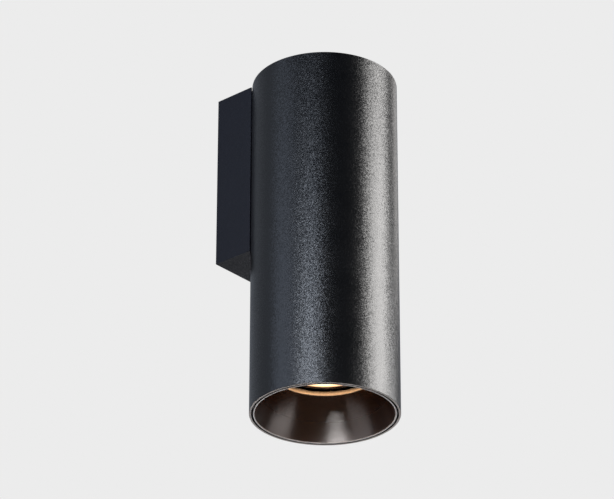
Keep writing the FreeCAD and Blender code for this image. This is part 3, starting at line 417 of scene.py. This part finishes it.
cone_shape = turned([
    (cone_mouth, mouth_z),
    (cone_neck, neck_z),
    (flange_radius, neck_z),
    (flange_radius, neck_z - cone_sheet),
    (cone_mouth - cone_slope * (cone_height - cone_sheet) + sheet_across, neck_z - cone_sheet),
    (cone_mouth, mouth_z + sheet_across / cone_slope),
    (cone_mouth, mouth_z + skirt_height),
    (rim_radius, mouth_z + skirt_height),
    (rim_radius, mouth_z),
], cone_edge)
cone_shape = without(cone_shape, spring_holes())
for face in cone_shape.faces:
    if face.calc_center_median().z < mouth_z + cone_edge and face.normal.z < faces_down:
        face.material_index = 1
cone = finished("spun_cone", cone_shape, [satin_lacquer(), rubbed_rim()],
                "reflector_unit")
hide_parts("reflector")


# Neck ring. Bare aluminium turned on the lathe, screwed on the cone's flange. It catches the
# lamp's warm light.
ring_height = 2.6 * mm
ring_edge = 0.2 * mm
# A wave texture's lines lie this far apart at a scale of 1.
wave_pitch = 0.31


# Turned aluminium: bright bare metal, with fine tool lines 0.3 mm apart round the axis.
def turned_aluminium():
    metal, tree, shader = start_material("turned_aluminium", Metallic=1.0, Roughness=0.5)
    place = add(tree, "TexCoord").outputs["Object"]
    patch = add(tree, "TexNoise", Vector=place, Scale=1 / (1.2 * mm), Detail=3)
    tint = add(tree, "Mix", data_type="RGBA", in_0=patch.outputs["Fac"],
               in_6=colour("#b4b4b4"), in_7=colour("#f4f4f4"))
    tree.links.new(tint.outputs[2], shader.inputs["Base Color"])
    centred = add(tree, "Mapping", Vector=place, Location=tuple(-tube_axis))
    lines = add(tree, "TexWave", Vector=centred.outputs[0], wave_type="RINGS",
                rings_direction="Z", Scale=wave_pitch / (0.3 * mm), Distortion=1.5, Detail=2)
    relief = add(tree, "Bump", Strength=0.5, Distance=0.02 * mm, Height=lines.outputs["Fac"])
    tree.links.new(relief.outputs[0], shader.inputs["Normal"])
    return metal


ring_shape = without(turned([
    (cone_neck, neck_z),
    (flange_radius, neck_z),
    (flange_radius, neck_z + ring_height),
    (cone_neck, neck_z + ring_height),
], ring_edge), spring_holes())
neck_ring = finished("bare_neck_ring", ring_shape, [turned_aluminium()],
                     "reflector_unit")
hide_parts("neck_ring")


# Lamp lens. Moulded polycarbonate with a frosted face, lit from behind. It is white to the
# eye in the middle and falls to a warm glow at its edge.
lamp_z = -120.7 * mm
lens_radius = 22.9 * mm
lens_lip_radius = 23.3 * mm
lens_low = 0.2 * mm
lens_lip_low = 3 * mm
lens_top = 4 * mm
lens_edge = 0.15 * mm
bright_within = 18.5 * mm
dim_beyond = 23 * mm
bright_level = 6.0
dim_level = 0.9


# Frosted polycarbonate: small prisms 2.2 mm apart break up the light behind it.
def lit_lens():
    lens, tree, shader = start_material("lit_frosted_polycarbonate", Roughness=0.5, IOR=1.58,
                                        Base_Color=colour("#e8e2d6"),
                                        Emission_Color=colour("#ffc287"))
    place = add(tree, "TexCoord").outputs["Object"]
    centred = add(tree, "Mapping", Vector=place, Location=(0, -tube_axis.y, -lamp_z))
    distance = add(tree, "VectorMath", operation="LENGTH", in_0=centred.outputs[0])
    fall = add(tree, "MapRange", interpolation_type="SMOOTHSTEP",
               Value=distance.outputs["Value"], From_Min=bright_within, From_Max=dim_beyond,
               To_Min=bright_level, To_Max=dim_level)
    cells = add(tree, "TexVoronoi", Vector=place, Scale=1 / (2.2 * mm))
    ripple = add(tree, "Math", operation="MULTIPLY_ADD", in_0=cells.outputs["Distance"],
                 in_1=-0.3, in_2=fall.outputs[0])
    tree.links.new(ripple.outputs[0], shader.inputs["Emission Strength"])
    relief = add(tree, "Bump", Strength=0.4, Distance=0.1 * mm, Height=cells.outputs["Distance"])
    tree.links.new(relief.outputs[0], shader.inputs["Normal"])
    return lens


lens = finished("frosted_lens_disc", turned([
    (0, lamp_z + lens_low),
    (lens_radius, lamp_z + lens_low),
    (lens_radius, lamp_z + lens_lip_low),
    (lens_lip_radius, lamp_z + lens_lip_low),
    (lens_lip_radius, lamp_z + lens_top),
    (0, lamp_z + lens_top),
], lens_edge, ring=False), [lit_lens()], "lamp")
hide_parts("lamp_lens")


# Lamp front ring. Moulded dark plastic that holds the lens. Its warm brown colour is painted glow
# from the lens's light.
front_ring_inner = 23 * mm
front_ring_outer = 25 * mm
front_ring_height = 3 * mm
front_ring_edge = 0.3 * mm


# Moulded plastic: an even fine spark-eroded grain, matt enough to show no reflections.
def moulded(name, low, high, roughness, grain=0.35 * mm):
    plastic, tree, shader = start_material(name, Roughness=roughness, IOR=1.5)
    place = add(tree, "TexCoord").outputs["Object"]
    cloud = add(tree, "TexNoise", Vector=place, Scale=1 / (5 * mm), Detail=3)
    tint = add(tree, "Mix", data_type="RGBA", in_0=cloud.outputs["Fac"],
               in_6=colour(low), in_7=colour(high))
    tree.links.new(tint.outputs[2], shader.inputs["Base Color"])
    pits = add(tree, "TexNoise", Vector=place, Scale=1 / grain, Detail=2)
    relief = add(tree, "Bump", Strength=0.3, Distance=0.03 * mm, Height=pits.outputs["Fac"])
    tree.links.new(relief.outputs[0], shader.inputs["Normal"])
    return plastic


# Warm brown of the ring: painted light from the lens on dark plastic.
painted_lens_glow_plastic = moulded("dark_plastic_with_painted_lens_glow", "#5d432f", "#6e5140", roughness=0.5)
front_ring = finished("lamp_front_ring", turned([
    (front_ring_inner, lamp_z),
    (front_ring_outer, lamp_z),
    (front_ring_outer, lamp_z + front_ring_height),
    (front_ring_inner, lamp_z + front_ring_height),
], front_ring_edge), [painted_lens_glow_plastic], "lamp")
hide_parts("lamp_rim")


# Rest of the lamp: a grey lacquered die-cast body, a white moulded base, tinned brass pins,
# and inside it a white board with yellow light sources.
def dress(names, material):
    """Gives a material to pieces whose shape stays as the model has it."""
    for name in names:
        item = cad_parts[name]
        item.data.materials.clear()
        item.data.materials.append(material)


# Cast and lacquered metal: a faint orange-peel skin over a cast grain.
def cast_lacquer(name, low, high):
    skin, tree, shader = start_material(name, Roughness=0.45, Metallic=0.4)
    place = add(tree, "TexCoord").outputs["Object"]
    cloud = add(tree, "TexNoise", Vector=place, Scale=1 / (3 * mm), Detail=4)
    tint = add(tree, "Mix", data_type="RGBA", in_0=cloud.outputs["Fac"],
               in_6=colour(low), in_7=colour(high))
    tree.links.new(tint.outputs[2], shader.inputs["Base Color"])
    relief = add(tree, "Bump", Strength=0.3, Distance=0.05 * mm, Height=cloud.outputs["Fac"])
    tree.links.new(relief.outputs[0], shader.inputs["Normal"])
    return skin


# Plated or bare sheet and wire: fine drawn lines along the piece and soft patches of wear.
def bare_metal(name, low, high, roughness, along=(1, 1, 0.06)):
    metal, tree, shader = start_material(name, Metallic=1.0, Roughness=roughness)
    place = add(tree, "TexCoord").outputs["Object"]
    patch = add(tree, "TexNoise", Vector=place, Scale=1 / (5 * mm), Detail=3)
    tint = add(tree, "Mix", data_type="RGBA", in_0=patch.outputs["Fac"],
               in_6=colour(low), in_7=colour(high))
    tree.links.new(tint.outputs[2], shader.inputs["Base Color"])
    gloss = add(tree, "MapRange", Value=patch.outputs["Fac"], To_Min=roughness - 0.08,
                To_Max=roughness + 0.08)
    tree.links.new(gloss.outputs[0], shader.inputs["Roughness"])
    drawn = add(tree, "Mapping", Vector=place, Scale=along)
    lines = add(tree, "TexNoise", Vector=drawn.outputs[0], Scale=1 / (0.25 * mm), Detail=2)
    relief = add(tree, "Bump", Strength=0.3, Distance=0.01 * mm, Height=lines.outputs["Fac"])
    tree.links.new(relief.outputs[0], shader.inputs["Normal"])
    return metal


dress(["lamp_body"], cast_lacquer("grey_lacquered_casting", "#7b7e81", "#919497"))
dress(["lamp_base"], moulded("white_moulded_plastic", "#dedbd3", "#ebe8e1", roughness=0.45))
dress(["led_board"], moulded("white_board", "#dfe3e2", "#edf0ee", roughness=0.4))
dress(["led_chips"], moulded("yellow_phosphor", "#d9b93f", "#e8cb5a", roughness=0.6))
tinned_brass = bare_metal("tinned_brass", "#b9b5a8", "#d2cec2", roughness=0.34)
dress(["lamp_pins", "earth_tag"], tinned_brass)


# Springs and their screws. Bent stainless strip, riding with the cone and pressing on the
# tube's bore. The screws are zinc plated steel.
zinc_plate = bare_metal("zinc_plated_steel", "#a9adb0", "#c4c8ca", roughness=0.36)
dress(["reflector_springs"],
      bare_metal("rolled_stainless_strip", "#b4b2ae", "#cfcdc9", roughness=0.28))
dress(["spring_screws"], zinc_plate)


# Lampholder. Two discs of fired steatite, cream white with a thin glaze and fine specks.
# Bronze blades press on the lamp's pins, and two screws hold it under the bracket.
def steatite():
    ceramic, tree, shader = start_material("fired_steatite", Roughness=0.4, IOR=1.55)
    place = add(tree, "TexCoord").outputs["Object"]
    specks = add(tree, "TexNoise", Vector=place, Scale=1 / (0.8 * mm), Detail=4)
    sharp = add(tree, "MapRange", Value=specks.outputs["Fac"], From_Min=0.52, From_Max=0.7)
    tint = add(tree, "Mix", data_type="RGBA", in_0=sharp.outputs[0],
               in_6=colour("#ece5d6"), in_7=colour("#cfc4ae"))
    tree.links.new(tint.outputs[2], shader.inputs["Base Color"])
    relief = add(tree, "Bump", Strength=0.3, Distance=0.04 * mm, Height=specks.outputs["Fac"])
    tree.links.new(relief.outputs[0], shader.inputs["Normal"])
    return ceramic


dress(["lampholder", "holder_cap"], steatite())
dress(["holder_contacts"],
      bare_metal("phosphor_bronze", "#a8754c", "#c4915f", roughness=0.33))
dress(["holder_screws"], zinc_plate)


# Brackets. Galvanised steel sheet, bent, with the cloudy crystals of the zinc bath.
def galvanised():
    sheet_metal, tree, shader = start_material("galvanised_sheet", Metallic=1.0, Roughness=0.4)
    place = add(tree, "TexCoord").outputs["Object"]
    crystals = add(tree, "TexVoronoi", feature="SMOOTH_F1", Vector=place,
                   Scale=1 / (5 * mm), Smoothness=0.45)
    shade = add(tree, "SeparateColor", Color=crystals.outputs["Color"])
    tint = add(tree, "Mix", data_type="RGBA", in_0=shade.outputs[0],
               in_6=colour("#a3a7aa"), in_7=colour("#bbbfc1"))
    tree.links.new(tint.outputs[2], shader.inputs["Base Color"])
    gloss = add(tree, "MapRange", Value=shade.outputs[0], To_Min=0.38, To_Max=0.46)
    tree.links.new(gloss.outputs[0], shader.inputs["Roughness"])
    grain = add(tree, "TexNoise", Vector=place, Scale=1 / (0.7 * mm), Detail=3)
    relief = add(tree, "Bump", Strength=0.25, Distance=0.03 * mm, Height=grain.outputs["Fac"])
    tree.links.new(relief.outputs[0], shader.inputs["Normal"])
    return sheet_metal


dress(["holder_bracket", "wall_bracket"], galvanised())


# Screws, washers, nuts and the curved block that clamp the tube on the box. The set screws
# that lock the box are blackened steel.
dress(["tube_fixing_screws", "tube_fixing_washers", "clamp_nuts", "earth_screw",
       "terminal_screws", "terminal_fixing_screw"], zinc_plate)
dress(["clamp_block"],
      bare_metal("extruded_aluminium", "#b9bcbe", "#cfd1d2", roughness=0.42))
dress(["box_lock_screws"],
      bare_metal("blackened_steel", "#232427", "#303236", roughness=0.5))


# Terminal block, in natural polyamide, and the rubber of the bush and the sleeve.
dress(["terminal_block"],
      moulded("natural_polyamide", "#d9d4c4", "#e6e1d2", roughness=0.45))
dress(["cable_bush", "lead_grommet"],
      moulded("black_rubber", "#141414", "#1c1c1c", roughness=0.75, grain=0.6 * mm))


# Leads. Stranded copper in smooth PVC: brown, blue, and green with a yellow stripe.
def insulation(name, base, stripe):
    pvc, tree, shader = start_material(name, Roughness=0.38, IOR=1.53)
    place = add(tree, "TexCoord").outputs["Object"]
    bands = add(tree, "TexWave", Vector=place, bands_direction="DIAGONAL",
                Scale=wave_pitch / (4.5 * mm))
    edge = add(tree, "MapRange", Value=bands.outputs["Fac"], From_Min=0.45, From_Max=0.55)
    tint = add(tree, "Mix", data_type="RGBA", in_0=edge.outputs[0],
               in_6=colour(base), in_7=colour(stripe))
    tree.links.new(tint.outputs[2], shader.inputs["Base Color"])
    skin = add(tree, "TexNoise", Vector=place, Scale=1 / (0.6 * mm), Detail=2)
    relief = add(tree, "Bump", Strength=0.2, Distance=0.02 * mm, Height=skin.outputs["Fac"])
    tree.links.new(relief.outputs[0], shader.inputs["Normal"])
    return pvc


dress(["lead_live"], insulation("brown_pvc", "#5a3826", "#61402d"))
dress(["lead_neutral"], insulation("blue_pvc", "#2c5ca6", "#3364ae"))
dress(["lead_earth"], insulation("green_and_yellow_pvc", "#2f8a3c", "#d8c52e"))


# Camera. Below the lamp and to its left, about 1.8 m away, with a long lens.
camera_place = Vector((-1.1690, -1.0582, -0.8501))
view_turn = math.radians(48.98)
view_rise = math.radians(27.46)
view_roll = 0.0014
level_right = Vector((math.cos(view_turn), -math.sin(view_turn), 0))
look = Vector((math.sin(view_turn) * math.cos(view_rise), math.cos(view_turn) * math.cos(view_rise),
               math.sin(view_rise)))
level_up = level_right.cross(look)
right = math.cos(view_roll) * level_right + math.sin(view_roll) * level_up
up = math.cos(view_roll) * level_up - math.sin(view_roll) * level_right
camera_data = bpy.data.cameras.new("camera")
camera_data.sensor_width = 36
camera_data.lens = 188.7
camera = bpy.data.objects.new("camera", camera_data)
bpy.context.collection.objects.link(camera)
camera_turn = Matrix((right, up, -look)).transposed().to_4x4()
camera.matrix_world = Matrix.Translation(camera_place) @ camera_turn
bpy.context.scene.camera = camera


# Lights: plain softboxes round the object. Each stands in a direction, given by its turn
# from the right-hand side and its rise, and faces the lamp.
lit_centre = Vector((0, -54 * mm, -48 * mm))


def softbox(name, turn, rise, away, width, height, radiance, tint):
    data = bpy.data.lights.new(name, "AREA")
    data.shape = "RECTANGLE"
    data.size = width
    data.size_y = height
    data.energy = radiance * math.pi * width * height
    data.color = colour(tint)[:3]
    light = bpy.data.objects.new(name, data)
    bpy.context.collection.objects.link(light)
    flat = math.cos(math.radians(rise))
    outward = Vector((flat * math.cos(math.radians(turn)), flat * math.sin(math.radians(turn)),
                      math.sin(math.radians(rise))))
    turned_to = (-outward).to_track_quat("-Z", "Y").to_matrix().to_4x4()
    light.matrix_world = Matrix.Translation(lit_centre + outward * away) @ turned_to
    light.visible_camera = False


# Name, turn and rise in degrees, distance, width and height in metres, radiance and tint.
softboxes = (
    ("key_softbox", -51, 15, 1.3, 0.6, 0.92, 10.0, "#fffdfb"),
    ("key_left_edge", -69, 15, 1.3, 0.22, 0.92, 5.0, "#fffdfb"),
    ("key_right_edge", -33, 15, 1.3, 0.22, 0.92, 5.2, "#fffdfb"),
    ("low_right_softbox", -19, 9, 1.3, 0.26, 0.6, 5.5, "#ffffff"),
    ("left_softbox", -162, 12, 0.8, 0.44, 0.12, 12.5, "#e4efff"),
    ("left_softbox_middle", -160, 21, 0.8, 0.36, 0.1, 1.7, "#dbe9ff"),
    ("left_softbox_upper", -161, 30, 0.8, 0.36, 0.12, 0.35, "#cde0ff"),
    ("left_fill", 158, 11, 1.6, 1.0, 1.16, 1.25, "#d6e5ff"),
    ("right_fill", 8, 40, 1.6, 0.45, 0.85, 1.4, "#fffaf6"),
    ("low_front_softbox", -55, -21, 0.9, 0.66, 0.24, 2.2, "#fff4f0"),
    ("low_left_softbox", -159, -16, 0.8, 0.33, 0.112, 17.0, "#fffaf8"),
    ("mouth_left_softbox", -160, -9.5, 0.8, 0.42, 0.063, 68.0, "#fffaf8"),
    ("low_back_fill", 155, -17, 0.9, 0.58, 0.3, 1.15, "#fff4f2"),
    ("low_wall_fill", 41, -28, 1.2, 0.7, 0.5, 2.7, "#f1f3fa"),
)
for settings in softboxes:
    softbox(*settings)


# Floor and background: pale and even to the eye. The floor lies well below the lamp, which
# hangs on a wall, and keeps its shadow.
pale = colour("#ececec")
floor_z = -2.0
floor_size = 60
floor_seen_share = 0.8
floor_mirrored_share = 0.015

floor_mesh = bmesh.new()
bmesh.ops.create_grid(floor_mesh, x_segments=1, y_segments=1, size=floor_size / 2,
                      matrix=Matrix.Translation((0, 0, floor_z)))
floor_data = bpy.data.meshes.new("floor")
floor_mesh.to_mesh(floor_data)
floor_mesh.free()
floor = bpy.data.objects.new("floor", floor_data)
bpy.context.collection.objects.link(floor)
floor_material = bpy.data.materials.new("pale_floor")
floor_material.use_nodes = True
floor_tree = floor_material.node_tree
floor_tree.nodes.clear()
floor_path = add(floor_tree, "LightPath")
floor_mirrored = add(floor_tree, "Math", operation="MULTIPLY",
                     in_0=floor_path.outputs["Is Glossy Ray"], in_1=floor_mirrored_share)
floor_share = add(floor_tree, "Math", operation="MULTIPLY_ADD",
                  in_0=floor_path.outputs["Is Camera Ray"], in_1=floor_seen_share,
                  in_2=floor_mirrored.outputs[0])
floor_lit = add(floor_tree, "BsdfDiffuse", Color=pale)
floor_glow = add(floor_tree, "Emission", Color=pale, Strength=1.0)
floor_mix = add(floor_tree, "MixShader", in_0=floor_share.outputs[0], in_1=floor_lit.outputs[0],
                in_2=floor_glow.outputs[0])
add(floor_tree, "OutputMaterial", Surface=floor_mix.outputs[0])
floor_data.materials.append(floor_material)

# Studio: pale to the eye. Gloss mirrors a dim pale wall behind the lamp.
world = bpy.data.worlds.new("studio")
bpy.context.scene.world = world
world.use_nodes = True
world_tree = world.node_tree
world_tree.nodes.clear()
ambient_level = 0.01
mirrored_share = 0.32
path = add(world_tree, "LightPath")
direction = add(world_tree, "SeparateXYZ", Vector=add(world_tree, "TexCoord").outputs["Generated"])
behind = add(world_tree, "MapRange", interpolation_type="SMOOTHSTEP", Value=direction.outputs["Y"],
             From_Min=-0.3, From_Max=0.6, To_Min=0.0, To_Max=mirrored_share)
mirrored = add(world_tree, "Math", operation="MULTIPLY_ADD", in_0=path.outputs["Is Glossy Ray"],
               in_1=behind.outputs[0], in_2=ambient_level)
seen = add(world_tree, "Math", operation="MAXIMUM", in_0=path.outputs["Is Camera Ray"],
           in_1=path.outputs["Is Transmission Ray"])
room_light = add(world_tree, "Background", Color=colour("#e0e9f8"), Strength=mirrored.outputs[0])
backdrop = add(world_tree, "Background", Color=pale, Strength=1.0)
world_mix = add(world_tree, "MixShader", in_0=seen.outputs[0], in_1=room_light.outputs[0],
                in_2=backdrop.outputs[0])
add(world_tree, "OutputWorld", Surface=world_mix.outputs[0])

bpy.context.scene.view_settings.view_transform = "Standard"
